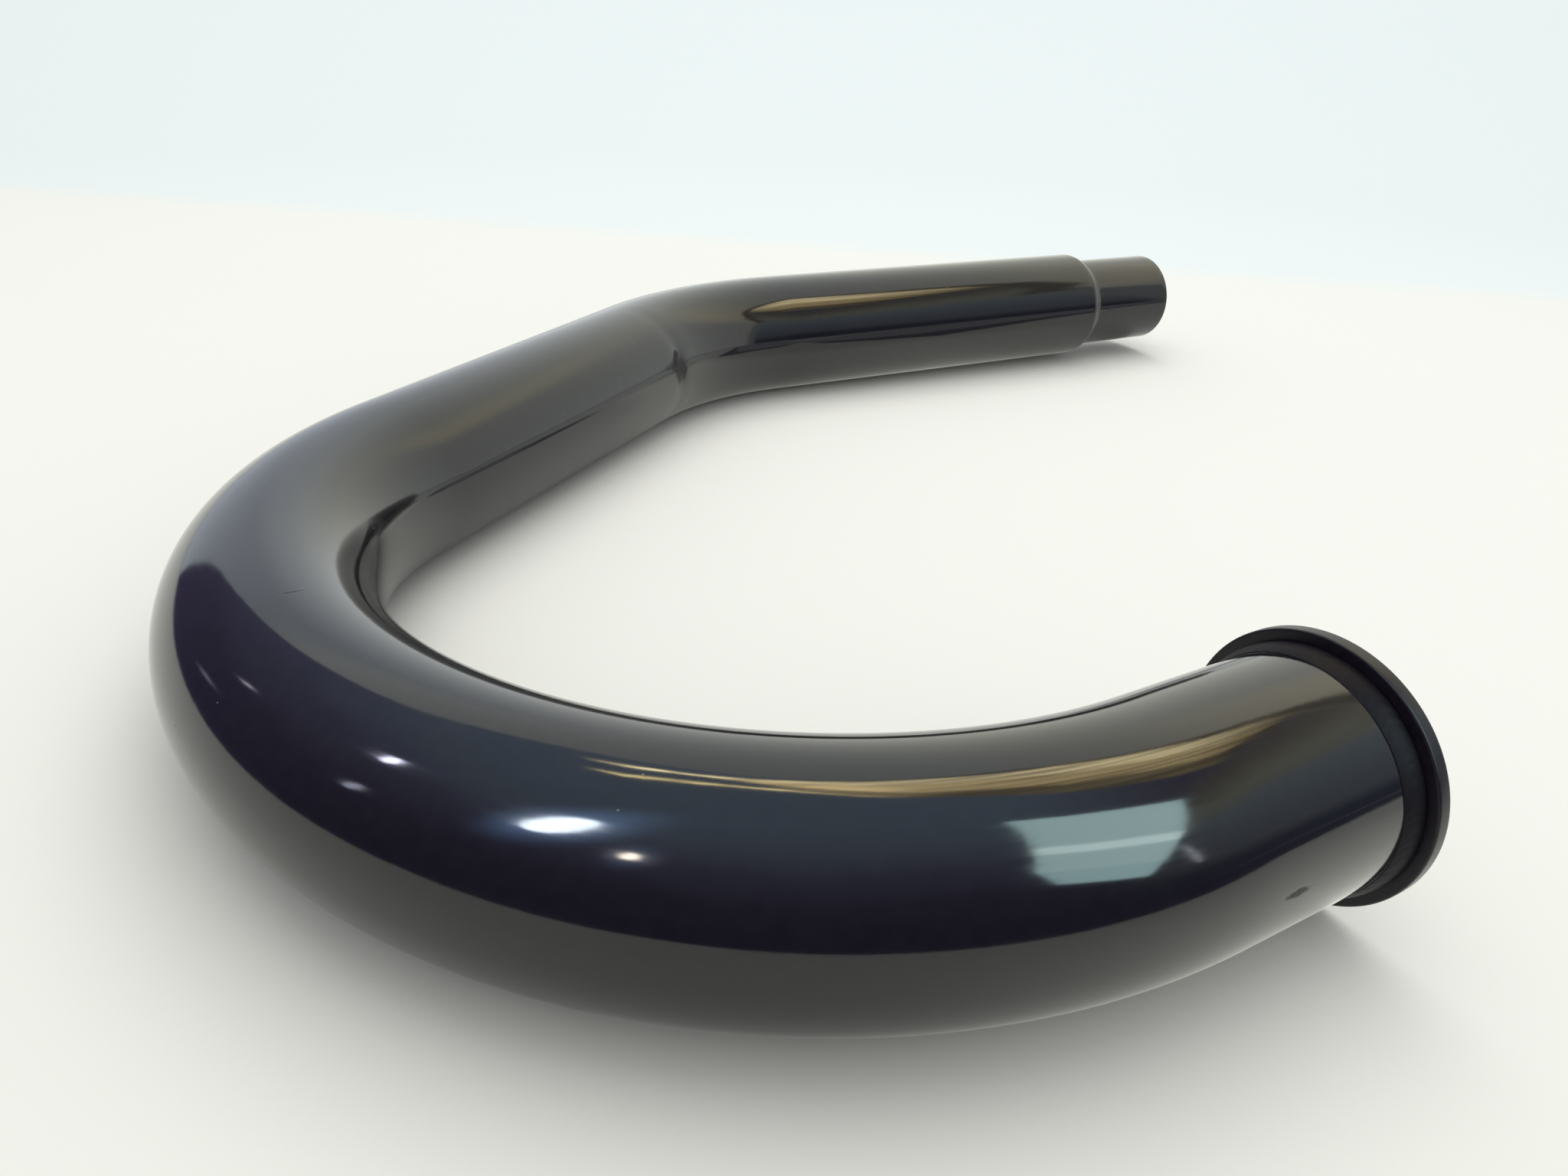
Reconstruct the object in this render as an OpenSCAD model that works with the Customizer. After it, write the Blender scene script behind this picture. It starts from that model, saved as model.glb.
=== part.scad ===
// Motorcycle exhaust header: one bent tube with a welded collar at the head end
// and a swaged slip-in spigot at the silencer end.
// Millimetres, +Z up. The header lies on the floor as it comes to rest:
// the link straight and the rim of the collar touch z = 0.
// The tail straight and its spigot point along +X.

/* [Tube] */
// outside diameter of the bent tube
tube_od = 44.5; // [30:0.5:60]
// wall thickness of the tube
tube_wall = 1.6; // [1:0.1:3]

/* [Bends] */
// centreline radius of both bends
bend_radius = 115; // [70:1:200]
// turn of the large bend next to the collar, degrees
main_turn = 143.5; // [110:0.5:170]
// turn of the second bend, degrees
second_turn = 38; // [20:0.5:60]

/* [Straights] */
// from the large bend to the collar's back face
head_straight = 35; // [15:1:80]
// between the two bends
link_straight = 133; // [60:1:220]
// from the second bend to the shoulder of the spigot
tail_straight = 155; // [60:1:260]

/* [Spigot] */
// how far the swaged end is stepped in below the tube, on the radius
neck_step = 3.2; // [1.5:0.1:7]
// plain length of the swaged end
spigot_length = 42; // [20:1:80]
// outer round where the tube starts to neck down
shoulder_round = 6; // [3:0.5:12]
// hollow fillet at the foot of the shoulder
shoulder_fillet = 3; // [1:0.5:8]
// rounding of the cut edge at the spigot's mouth
mouth_edge = 0.4; // [0.1:0.1:0.7]

/* [Collar] */
// how far the collar stands out of the tube, on the radius
collar_stand = 3.25; // [2:0.05:9]
// thickness of the collar
collar_thickness = 3; // [2:0.1:8]
// bevel on the collar's two rim edges
collar_bevel = 0.4; // [0.1:0.1:0.8]
// how far the tube's end is set back from the gasket face
tube_setback = 0.8; // [0:0.1:1.5]

/* [Weld] */
// length of the weld along the tube, behind the collar
weld_length = 4.8; // [2:0.1:9]
// height of the weld up the collar's back face
weld_height = 1.1; // [0.5:0.1:2]
// swell of the weld's face above a flat bevel
weld_swell = 0.35; // [0.1:0.05:0.6]

/* [Bend marks] */
// crease pressed into the inside of the second bend, depth
crease_depth = 0.3; // [0.2:0.1:1]
// radius of the crease's round bottom
crease_round = 6; // [1.5:0.5:8]
// how far before the second bend the crease lies
crease_before = 7; // [6:0.5:14]
// pit just past the crease, depth
pit_depth = 0.9; // [0.3:0.1:1.1]
// radius of the ball that shapes the pit
pit_ball = 8; // [4:0.5:14]

/* [Hidden] */
$fn = 48;

tube_r = tube_od / 2;
bore_r = tube_r - tube_wall;
spigot_r = tube_r - neck_step;
spigot_bore_r = spigot_r - tube_wall;
collar_r = tube_r + collar_stand;

// The shoulder is an S of two arcs that meet on one slope.
arc_sum = shoulder_round + shoulder_fillet;
slope = acos(max(0, 1 - neck_step / arc_sum));
shoulder_length = arc_sum * sin(slope);
tail_length = tail_straight + shoulder_length + spigot_length;

// Plan of the centreline with the link straight along +X from the origin.
head_dir = [-cos(main_turn), -sin(main_turn)];
head_bend_end = [-bend_radius * sin(main_turn), bend_radius * (cos(main_turn) - 1)];
collar_back = head_bend_end + head_straight * head_dir;
collar_front = collar_back + collar_thickness * head_dir;
tail_start = [link_straight + bend_radius * sin(second_turn), -bend_radius * (1 - cos(second_turn))];
spigot_end = tail_start + tail_length * [cos(second_turn), -sin(second_turn)];

// The collar is larger than the tube, so the header leans back on the link straight.
lie_tilt = asin(collar_stand / abs(collar_back[1]));

// The plan is turned so that the tail runs along +X, then centred on its box.
function turned(p) = [p[0] * cos(second_turn) - p[1] * sin(second_turn),
                      p[0] * sin(second_turn) + p[1] * cos(second_turn)];
main_centre = turned([0, -bend_radius]);
end_x = turned(spigot_end)[0];
tail_y = turned(spigot_end)[1];
collar_at = turned(collar_front);
head_reach = abs(turned(head_dir)[1]) * collar_r;
x_low = main_centre[0] - bend_radius - tube_r;
x_high = max(end_x, collar_at[0] + head_reach);
y_low = min(main_centre[1] - bend_radius - tube_r, collar_at[1] - collar_r);
y_high = tail_y + tube_r;

steel_black = [0.06, 0.06, 0.07];
weld_black = [0.09, 0.09, 0.10];
near_zero = 0.01;
drawn_thinner = 0.1;
reach_in = 0.5;

// puts the flat header into its rest pose on the floor
module at_rest() {
    translate([-(x_low + x_high) / 2, -(y_low + y_high) / 2, tube_r])
        rotate([0, 0, second_turn]) rotate([-lie_tilt, 0, 0]) children();
}

// frame at the head end of the large bend, +Z leading on to the collar
module at_head() {
    translate([0, -bend_radius, 0]) rotate([0, 0, main_turn])
        translate([0, bend_radius, 0]) rotate([0, -90, 0]) children();
}

// frame at the tail end of the second bend, +Z leading on to the spigot
module at_tail() {
    translate([link_straight, -bend_radius, 0]) rotate([0, 0, -second_turn])
        translate([0, bend_radius, 0]) rotate([0, 90, 0]) children();
}

// frame of the collar's back face, +Z towards the gasket face
module at_collar() {
    at_head() translate([0, 0, head_straight]) children();
}

// one straight length of tube along +Z
module straight_tube(from, to) {
    difference() {
        translate([0, 0, from]) cylinder(r = tube_r, h = to - from);
        translate([0, 0, from - 1]) cylinder(r = bore_r, h = to - from + 2);
    }
}

// One bend about the vertical line at the origin, from angle a through turn. It is a
// hair slimmer than the straights, which reach into it, so no two skins coincide.
module bent_tube(a, turn) {
    rotate([0, 0, a]) rotate_extrude(angle = turn) translate([bend_radius, 0]) difference() {
        circle(r = tube_r - drawn_thinner);
        circle(r = bore_r + drawn_thinner);
    }
}

// half section under the shoulder's S curve and along the spigot, for the outside
// (inset 0) or the inside (inset = wall), drawn radius against length
module necked_section(inset, extra) {
    big = tube_r - inset;
    small = spigot_r - inset;
    round_r = shoulder_round - inset;
    hollow_r = shoulder_fillet + inset;
    meet = round_r * sin(slope);
    union() {
        if (extra > 0) translate([0, -extra]) square([big, extra]);
        square([big - round_r, meet]);
        intersection() {
            translate([big - round_r - near_zero, 0]) square([round_r + 1, meet]);
            translate([big - round_r, 0]) circle(r = round_r);
        }
        difference() {
            translate([0, meet]) square([small + hollow_r, shoulder_length - meet]);
            translate([small + hollow_r, shoulder_length]) circle(r = hollow_r);
        }
        translate([0, shoulder_length]) square([small, spigot_length + extra]);
    }
}

// the swaged shoulder and spigot, from the origin along +Z
module necked_end() {
    difference() {
        rotate_extrude() necked_section(0, 0);
        rotate_extrude() necked_section(tube_wall, 2);
        translate([0, 0, shoulder_length + spigot_length]) mouth_round();
    }
}

// cutter that bevels both edges of the spigot's mouth
module mouth_round() {
    rotate_extrude() polygon([[spigot_r - mouth_edge, 0.01], [spigot_r + 1, -mouth_edge - 1.01],
                              [spigot_r + 1, 1], [spigot_r - mouth_edge, 1]]);
}

// crease: a ring set off centre, so it bites only on the inside of the bend
module crease_cutter() {
    ring_r = tube_r + crease_round - crease_depth / 2;
    translate([link_straight - crease_before, crease_depth / 2, 0]) rotate([0, 90, 0])
        rotate_extrude() translate([ring_r, 0]) circle(r = crease_round);
}

module pit_cutter() {
    translate([link_straight, -(tube_r + pit_ball - pit_depth), 0]) sphere(r = pit_ball);
}

module header_tube() {
    color(steel_black) at_rest() difference() {
        union() {
            translate([0, -bend_radius, 0]) bent_tube(90, main_turn);
            at_head() straight_tube(-reach_in, head_straight + collar_thickness - tube_setback);
            rotate([0, 90, 0]) straight_tube(-reach_in, link_straight + reach_in);
            translate([link_straight, -bend_radius, 0]) bent_tube(90 - second_turn, second_turn);
            at_tail() straight_tube(-reach_in, tail_straight);
            at_tail() translate([0, 0, tail_straight]) necked_end();
        }
        crease_cutter();
        pit_cutter();
    }
}

module collar() {
    color(steel_black) at_rest() at_collar() rotate_extrude() polygon([
        [tube_r, 0], [collar_r - collar_bevel, 0], [collar_r, collar_bevel],
        [collar_r, collar_thickness - collar_bevel], [collar_r - collar_bevel, collar_thickness],
        [tube_r, collar_thickness]]);
}

// fillet weld behind the collar, its face a little swollen
module collar_weld() {
    color(weld_black) at_rest() at_collar() rotate_extrude() polygon([
        [tube_r, 0], [tube_r, -weld_length],
        [tube_r + weld_height * 0.25 + weld_swell * 0.75, -weld_length * 0.75],
        [tube_r + weld_height * 0.5 + weld_swell, -weld_length * 0.5],
        [tube_r + weld_height * 0.75 + weld_swell * 0.75, -weld_length * 0.25],
        [tube_r + weld_height, 0]]);
}

header_tube();
collar();
collar_weld();
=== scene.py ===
# %% [markdown]
# # A motorcycle exhaust header
#
# A header is the first length of pipe after the cylinder head. This one is a
# single steel tube, bent twice in one plane, with a collar welded on at the
# head end and the other end swaged down so that the silencer slips over it.
# Everything below is drawn round one line, the pipe's centreline, because
# that is how a pipe shop makes it: cut, bend, swage, weld on, enamel.

# %% Load the CAD frame
import bpy
import math
from mathutils import Matrix, Vector


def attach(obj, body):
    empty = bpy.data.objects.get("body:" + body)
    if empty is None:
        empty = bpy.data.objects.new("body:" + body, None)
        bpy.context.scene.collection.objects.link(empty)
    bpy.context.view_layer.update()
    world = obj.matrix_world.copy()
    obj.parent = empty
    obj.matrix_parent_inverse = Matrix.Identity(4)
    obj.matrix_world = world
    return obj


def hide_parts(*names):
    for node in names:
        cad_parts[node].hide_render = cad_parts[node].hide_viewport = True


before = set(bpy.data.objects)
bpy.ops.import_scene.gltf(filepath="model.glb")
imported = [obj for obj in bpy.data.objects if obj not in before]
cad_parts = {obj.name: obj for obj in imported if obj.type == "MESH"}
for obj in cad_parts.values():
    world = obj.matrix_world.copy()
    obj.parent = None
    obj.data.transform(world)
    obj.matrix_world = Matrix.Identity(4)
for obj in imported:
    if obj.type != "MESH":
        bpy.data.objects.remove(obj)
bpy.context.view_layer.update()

# %% [markdown]
# ## The sizes of the pipe
#
# The same named sizes drive the CAD, so they are written here once more, in
# metres. The header lies flat, leaning back by under a degree, because the
# collar is a little larger than the tube.

# %% Sizes, in metres
MM = 0.001
TUBE_R, WALL = 22.25 * MM, 1.6 * MM
BEND_RADIUS = 115 * MM
MAIN_TURN, SECOND_TURN = math.radians(143.5), math.radians(38)
HEAD_STRAIGHT, LINK_STRAIGHT, TAIL_STRAIGHT = 35 * MM, 133 * MM, 155 * MM
SPIGOT_R, SPIGOT_LENGTH = 19.05 * MM, 42 * MM
SHOULDER_ROUND, SHOULDER_FILLET = 6 * MM, 3 * MM
COLLAR_R, COLLAR_THICKNESS, TUBE_SETBACK = 25.5 * MM, 3 * MM, 0.8 * MM
WELD_LENGTH, WELD_HEIGHT, WELD_SWELL = 4.8 * MM, 1.1 * MM, 0.35 * MM

slope = math.acos(1 - (TUBE_R - SPIGOT_R) / (SHOULDER_ROUND + SHOULDER_FILLET))
SHOULDER = (SHOULDER_ROUND + SHOULDER_FILLET) * math.sin(slope)

# Stations along the centreline, measured from the collar's gasket face.
AT_BACK = COLLAR_THICKNESS
AT_BEND = AT_BACK + HEAD_STRAIGHT
AT_LINK = AT_BEND + BEND_RADIUS * MAIN_TURN
AT_SECOND = AT_LINK + LINK_STRAIGHT
AT_TAIL = AT_SECOND + BEND_RADIUS * SECOND_TURN
AT_SHOULDER = AT_TAIL + TAIL_STRAIGHT
AT_SPIGOT = AT_SHOULDER + SHOULDER
AT_END = AT_SPIGOT + SPIGOT_LENGTH
print("developed length %.1f mm, shoulder %.2f mm" % (AT_END / MM, SHOULDER / MM))

# %% [markdown]
# ## The centreline
#
# A pipe bender works with straights and arcs of one radius. The line is drawn
# in plan the same way, straight, arc, straight, arc, straight, with points a
# millimetre apart, then leaned back and turned as the pipe lies.

# %% Draw the centreline
def plan_point(s):
    """Plan position at station s, with the link straight along +X."""
    if s <= AT_LINK:
        back = AT_LINK - s
        if back <= BEND_RADIUS * MAIN_TURN:
            a = back / BEND_RADIUS
            return Vector((-BEND_RADIUS * math.sin(a), BEND_RADIUS * (math.cos(a) - 1), 0))
        reach = back - BEND_RADIUS * MAIN_TURN
        bend_end = plan_point(AT_BEND)
        return bend_end + reach * Vector((-math.cos(MAIN_TURN), -math.sin(MAIN_TURN), 0))
    if s <= AT_SECOND:
        return Vector((s - AT_LINK, 0, 0))
    a = min(s - AT_SECOND, BEND_RADIUS * SECOND_TURN) / BEND_RADIUS
    p = Vector((LINK_STRAIGHT + BEND_RADIUS * math.sin(a), BEND_RADIUS * (math.cos(a) - 1), 0))
    reach = s - AT_SECOND - BEND_RADIUS * a
    return p + reach * Vector((math.cos(SECOND_TURN), -math.sin(SECOND_TURN), 0))


collar_back = plan_point(AT_BACK)
lean = math.asin((COLLAR_R - TUBE_R) / abs(collar_back.y))
turn = Matrix.Rotation(SECOND_TURN, 3, "Z")
main_centre = turn @ Vector((0, -BEND_RADIUS, 0))
spigot_end = turn @ plan_point(AT_END)
collar_front = turn @ plan_point(0)
x_mid = (main_centre.x - BEND_RADIUS - TUBE_R + spigot_end.x) / 2
y_mid = (min(main_centre.y - BEND_RADIUS - TUBE_R, collar_front.y - COLLAR_R)
         + spigot_end.y + TUBE_R) / 2
LIE = (Matrix.Translation((-x_mid, -y_mid, TUBE_R)) @ turn.to_4x4()
       @ Matrix.Rotation(-lean, 4, "X"))

STEP = 1 * MM
count = round(AT_END / STEP)
line_points = [LIE @ plan_point(AT_END * i / count) for i in range(count + 1)]
path_data = bpy.data.curves.new("centreline", "CURVE")
path_data.dimensions = "3D"
spline = path_data.splines.new("POLY")
spline.points.add(count)
for point, p in zip(spline.points, line_points):
    point.co = (*p, 1)
path = bpy.data.objects.new("centreline", path_data)
bpy.context.scene.collection.objects.link(path)
print("centreline: %d points, lean %.2f degrees" % (count + 1, math.degrees(lean)))

# %% [markdown]
# ## One helper for nodes
#
# Both the shapes and the finishes are node trees. One small function adds a
# node with its settings and its inputs, and another feeds a node that is there
# already. That keeps each tree readable as a list of steps.

# %% A node helper and a colour helper
def feed(tree, node, inputs):
    """Gives inputs, in order or keyed by name or number, a value, socket or node."""
    keyed = inputs if isinstance(inputs, dict) else dict(enumerate(inputs))
    for key, source in keyed.items():
        if isinstance(source, bpy.types.Node):
            source = source.outputs[0]
        if isinstance(source, bpy.types.NodeSocket):
            tree.links.new(source, node.inputs[key])
        else:
            node.inputs[key].default_value = source


def add(tree, kind, inputs=(), stops=(), **settings):
    """Adds a node with its settings and inputs, and a colour ramp's stops."""
    node = tree.nodes.new(kind)
    for name, value in settings.items():
        setattr(node, name, value)
    feed(tree, node, inputs)
    if stops:
        bands = node.color_ramp.elements
        for band, (spot, colour) in zip((bands[0], bands[-1]), (stops[0], stops[-1])):
            band.position, band.color = spot, linear(colour)
        for spot, colour in stops[1:-1]:
            bands.new(spot).color = linear(colour)
    return node


def linear(hex_colour):
    """An sRGB hex colour as the linear values that shaders take."""
    raw = [int(hex_colour[i:i + 2], 16) / 255 for i in (1, 3, 5)]
    return [c / 12.92 if c <= 0.04045 else ((c + 0.055) / 1.055) ** 2.4 for c in raw] + [1.0]


MATHS, VECTOR, RANGE = "ShaderNodeMath", "ShaderNodeVectorMath", "ShaderNodeMapRange"
NOISE, MIX, BUMP = "ShaderNodeTexNoise", "ShaderNodeMix", "ShaderNodeBump"
print("enamel black is", [round(c, 4) for c in linear("#0c0c0f")])

# %% How each shape tree starts and ends
def new_tree(name, inputs):
    """A Geometry Nodes tree with these inputs, each a name and a kind of socket."""
    tree = bpy.data.node_groups.new(name, "GeometryNodeTree")
    for label, kind in inputs:
        tree.interface.new_socket(label, in_out="INPUT", socket_type="NodeSocket" + kind)
    tree.interface.new_socket("Geometry", in_out="OUTPUT", socket_type="NodeSocketGeometry")
    return tree, tree.nodes.new("NodeGroupInput").outputs


def end_tree(tree, geometry, finish):
    real = add(tree, "GeometryNodeRealizeInstances", (geometry,))
    painted = add(tree, "GeometryNodeSetMaterial", {"Geometry": real, "Material": finish})
    add(tree, "NodeGroupOutput", (painted,))


print("two trees to come: one sweeps, one presses")

# %% [markdown]
# ## Sweeping a section round the pipe
#
# Every piece here is round about the centreline: the tube's wall, the collar
# and the weld. So each is a closed half section, drawn as length along the
# pipe against radius, that is swept round the pipe and follows it. Spinning
# works only about a straight axis, and a curve's bevel can't change radius
# freely and close at the lips, so a Geometry Nodes tree does both. A third
# value on each section point, its share, says how much of the weld's ripple it
# takes. On the tube it takes none, and the share marks the bore instead.

# %% The sweep tree
def sweep_tree():
    tree, given = new_tree("Sweep Section Round Path", (
        ("Section", "Geometry"), ("Path", "Object"), ("Around", "Int"), ("Seed", "Int"),
        ("Ripple Height", "Float"), ("Ripples", "Float"), ("Ripple Lean", "Float"),
        ("Waver", "Float"), ("Finish", "Material")))

    # One row of the grid for each section point, and one more to close it.
    size = add(tree, "GeometryNodeAttributeDomainSize", (given["Section"],))
    points = size.outputs["Point Count"]
    rows = add(tree, MATHS, (points, 1), operation="ADD")
    ring = add(tree, MATHS, (given["Around"], 1), operation="ADD")
    grid = add(tree, "GeometryNodeMeshGrid", {"Vertices X": rows, "Vertices Y": ring})
    index = add(tree, "GeometryNodeInputIndex")
    inside_row = add(tree, MATHS, (index, 0.5), operation="ADD")
    row = add(tree, MATHS, (inside_row, ring), operation="DIVIDE")
    row = add(tree, MATHS, (row,), operation="FLOOR")
    before = add(tree, MATHS, (row, ring), operation="MULTIPLY")
    column = add(tree, MATHS, (index, before), operation="SUBTRACT")
    turned = add(tree, MATHS, (column, given["Around"]), operation="DIVIDE")
    angle = add(tree, MATHS, (turned, 2 * math.pi), operation="MULTIPLY")
    wrapped = add(tree, MATHS, (row, points), operation="FLOORED_MODULO")
    place = add(tree, "GeometryNodeInputPosition")
    sample = add(tree, "GeometryNodeSampleIndex",
                 {"Geometry": given["Section"], "Value": place, "Index": wrapped},
                 data_type="FLOAT_VECTOR", domain="POINT")
    along, radius, share = add(tree, "ShaderNodeSeparateXYZ", (sample,)).outputs

    # Ripples: overlapping crescents, with a little waver in their spacing.
    cosine = add(tree, MATHS, (angle,), operation="COSINE")
    sine = add(tree, MATHS, (angle,), operation="SINE")
    ring_place = add(tree, "ShaderNodeCombineXYZ", (cosine, sine, given["Seed"]))
    noise = add(tree, NOISE, {"Vector": ring_place, "Scale": 5.0, "Detail": 2.0})
    waver = add(tree, MATHS, (noise, 0.5), operation="SUBTRACT")
    waver = add(tree, MATHS, (waver, given["Waver"]), operation="MULTIPLY")
    lean_back = add(tree, MATHS, (share, share), operation="MULTIPLY")
    lean_back = add(tree, MATHS, (lean_back, given["Ripple Lean"]), operation="MULTIPLY")
    shift = add(tree, MATHS, (waver, lean_back), operation="SUBTRACT")
    evenly = add(tree, MATHS, (angle, 2 * math.pi), operation="DIVIDE")
    evenly = add(tree, MATHS, (evenly, given["Ripples"]), operation="MULTIPLY")
    phase = add(tree, MATHS, (evenly, shift), operation="ADD")
    saw = add(tree, MATHS, (phase, 1), operation="FLOORED_MODULO")
    saw = add(tree, MATHS, (saw, 2), operation="MULTIPLY")
    saw = add(tree, MATHS, (saw, 1), operation="SUBTRACT")
    hollow = add(tree, MATHS, (saw, saw), operation="MULTIPLY")
    lift = add(tree, MATHS, (1, hollow), operation="SUBTRACT")
    for factor in (share, given["Ripple Height"]):
        lift = add(tree, MATHS, (lift, factor), operation="MULTIPLY")
    grown = add(tree, MATHS, (radius, lift), operation="ADD")

    # Follow the path: its normal lies level, its binormal stands up.
    source = add(tree, "GeometryNodeObjectInfo", {"Object": given["Path"]},
                 transform_space="RELATIVE")
    level = add(tree, "GeometryNodeSetCurveNormal", (source.outputs["Geometry"],), mode="Z_UP")
    follow = add(tree, "GeometryNodeSampleCurve", {0: level, "Length": along}, mode="LENGTH",
                 use_all_curves=True)
    tangent, normal = follow.outputs["Tangent"], follow.outputs["Normal"]
    upright = add(tree, VECTOR, (tangent, normal), operation="CROSS_PRODUCT")
    level_part = add(tree, VECTOR, {0: normal, "Scale": cosine}, operation="SCALE")
    up_part = add(tree, VECTOR, {0: upright, "Scale": sine}, operation="SCALE")
    outward = add(tree, VECTOR, (level_part, up_part), operation="ADD")
    offset = add(tree, VECTOR, {0: outward, "Scale": grown}, operation="SCALE")
    end = add(tree, VECTOR, (follow.outputs["Position"], offset), operation="ADD")

    # "straight" is where a point would lie if the pipe were never bent. The
    # finishes read it, so their grain runs along the pipe.
    over = add(tree, MATHS, (cosine, grown), operation="MULTIPLY")
    up = add(tree, MATHS, (sine, grown), operation="MULTIPLY")
    unbent = add(tree, "ShaderNodeCombineXYZ", (over, up, along))
    skin = grid
    for name, kind, value in (("straight", "FLOAT_VECTOR", unbent),
                              ("outward", "FLOAT_VECTOR", outward), ("share", "FLOAT", share)):
        skin = add(tree, "GeometryNodeStoreNamedAttribute",
                   {"Geometry": skin, "Name": name, "Value": value},
                   data_type=kind, domain="POINT")
    placed = add(tree, "GeometryNodeSetPosition", {"Geometry": skin, "Position": end})
    # The grid's first and last rows and columns meet, within a micrometre.
    merged = add(tree, "GeometryNodeMergeByDistance", {"Geometry": placed, "Distance": 1e-6})
    smooth = add(tree, "GeometryNodeSetShadeSmooth", (merged,))
    end_tree(tree, smooth, given["Finish"])
    return tree


SWEEP = sweep_tree()
print("sweep tree:", len(SWEEP.nodes), "nodes")

# %% [markdown]
# ## Pressed marks
#
# A second tree presses the crease and the pit that the bender left on the
# inside of the second bend. It moves points in along their own "outward"
# direction, by how near they are to each mark on the unbent pipe. Sculpting
# would do it too, but the sizes would then be lost.

# %% The pressing tree
def press_tree():
    sizes = ("Crease Place", "Crease Depth", "Crease Width", "Crease Bow", "Pit Place",
             "Pit Depth", "Pit Length", "Pit Height", "Pit Drop", "Tube Radius")
    tree, given = new_tree("Press Bend Marks", [("Geometry", "Geometry")]
                           + [(name, "Float") for name in sizes] + [("Finish", "Material")])

    def bell(distance, width):
        """1 at the mark, falling smoothly away over its width."""
        ratio = add(tree, MATHS, (distance, width), operation="DIVIDE")
        fall = add(tree, MATHS, (ratio, ratio), operation="MULTIPLY")
        fall = add(tree, MATHS, (fall, -1), operation="MULTIPLY")
        return add(tree, MATHS, (fall,), operation="EXPONENT")

    straight, outward = (add(tree, "GeometryNodeInputNamedAttribute", {"Name": name},
                             data_type="FLOAT_VECTOR") for name in ("straight", "outward"))
    side, height, along = add(tree, "ShaderNodeSeparateXYZ", (straight,)).outputs

    # The crease runs round the inner half, bowed along the pipe at mid height.
    inner = add(tree, MATHS, (side, given["Tube Radius"]), operation="DIVIDE")
    inner = add(tree, MATHS, (inner, 0), operation="MAXIMUM")
    upper = add(tree, MATHS, (height, given["Tube Radius"]), operation="DIVIDE")
    bow = add(tree, MATHS, (upper, upper), operation="MULTIPLY")
    bow = add(tree, MATHS, (1, bow), operation="SUBTRACT")
    bow = add(tree, MATHS, (bow, given["Crease Bow"]), operation="MULTIPLY")
    line = add(tree, MATHS, (given["Crease Place"], bow), operation="ADD")
    crease_gap = add(tree, MATHS, (along, line), operation="SUBTRACT")
    crease = bell(crease_gap, given["Crease Width"])
    for factor in (inner, given["Crease Depth"]):
        crease = add(tree, MATHS, (crease, factor), operation="MULTIPLY")

    # The pit is a small oval, and on the inner side only.
    pit_gap = add(tree, MATHS, (along, given["Pit Place"]), operation="SUBTRACT")
    pit_rise = add(tree, MATHS, (height, given["Pit Drop"]), operation="ADD")
    pit = add(tree, MATHS, (side, 0), operation="GREATER_THAN")
    for factor in (bell(pit_gap, given["Pit Length"]), bell(pit_rise, given["Pit Height"]),
                   given["Pit Depth"]):
        pit = add(tree, MATHS, (pit, factor), operation="MULTIPLY")

    press = add(tree, MATHS, (crease, pit), operation="ADD")
    press = add(tree, MATHS, (press, -1), operation="MULTIPLY")
    push = add(tree, VECTOR, {0: outward, "Scale": press}, operation="SCALE")
    pressed = add(tree, "GeometryNodeSetPosition",
                  {"Geometry": given["Geometry"], "Offset": push})
    end_tree(tree, pressed, given["Finish"])
    return tree


PRESS = press_tree()
print("press tree:", len(PRESS.nodes), "nodes")

# %% Run the trees on a section and keep the plain mesh
def run_tree(holder, tree, inputs):
    """Adds the tree as a modifier, its inputs set by identifier."""
    modifier = holder.modifiers.new(tree.name, "NODES")
    modifier.node_group = tree
    sockets = {item.name: item.identifier for item in tree.interface.items_tree
               if item.item_type == "SOCKET" and item.in_out == "INPUT"}
    for name, value in inputs.items():
        modifier[sockets[name]] = value


def swept(name, section, steps):
    """Sweeps section points (length, radius, ripple share) and returns the piece."""
    mesh = bpy.data.meshes.new(name + "_section")
    last = len(section) - 1
    mesh.from_pydata(section, [(i, i + 1) for i in range(last)] + [(last, 0)], [])
    holder = bpy.data.objects.new(name + "_section", mesh)
    bpy.context.scene.collection.objects.link(holder)
    for tree, inputs in steps:
        run_tree(holder, tree, inputs)
    ready = holder.evaluated_get(bpy.context.evaluated_depsgraph_get())
    made = bpy.data.meshes.new_from_object(ready)
    holder.modifiers.clear()
    bpy.data.objects.remove(holder)
    piece = bpy.data.objects.new(name, made)
    bpy.context.scene.collection.objects.link(piece)
    # The section runs one way round, so the sign of the volume tells the side.
    made.calc_loop_triangles()
    spots = made.vertices
    volume = sum(spots[a].co.dot(spots[b].co.cross(spots[c].co))
                 for a, b, c in (t.vertices for t in made.loop_triangles)) / 6
    if volume < 0:
        made.flip_normals()
    print("%s: %d triangles, %.1f cm3 of metal" % (name, len(made.loop_triangles),
                                                   abs(volume) * 1e6))
    return piece


print("pieces are swept round a line of %.1f mm" % (AT_END / MM))

# %% [markdown]
# ## Gloss black enamel
#
# The pipe is sprayed steel, baked: a hard black film with a mirror gloss. Its
# colour hardly matters, since nearly all that the eye gets from it is what it
# reflects. What sells it is the film's slight unevenness: a drawn-out ripple
# along the pipe from the tube mill's polish, a fine orange peel, dust, and
# small marks of wear. The bore is bare steel under dry brown soot.

# %% Start a finish
def new_finish(name, kind, inputs=()):
    """A new material and its tree, with one shader joined to its output."""
    material = bpy.data.materials.new(name)
    material.use_nodes = True
    tree = material.node_tree
    tree.nodes.clear()
    shader = add(tree, kind, inputs)
    add(tree, "ShaderNodeOutputMaterial", {"Surface": shader})
    return material, tree, shader


ENAMEL_IOR = 1.52
print("enamel bends light by", ENAMEL_IOR)

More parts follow.
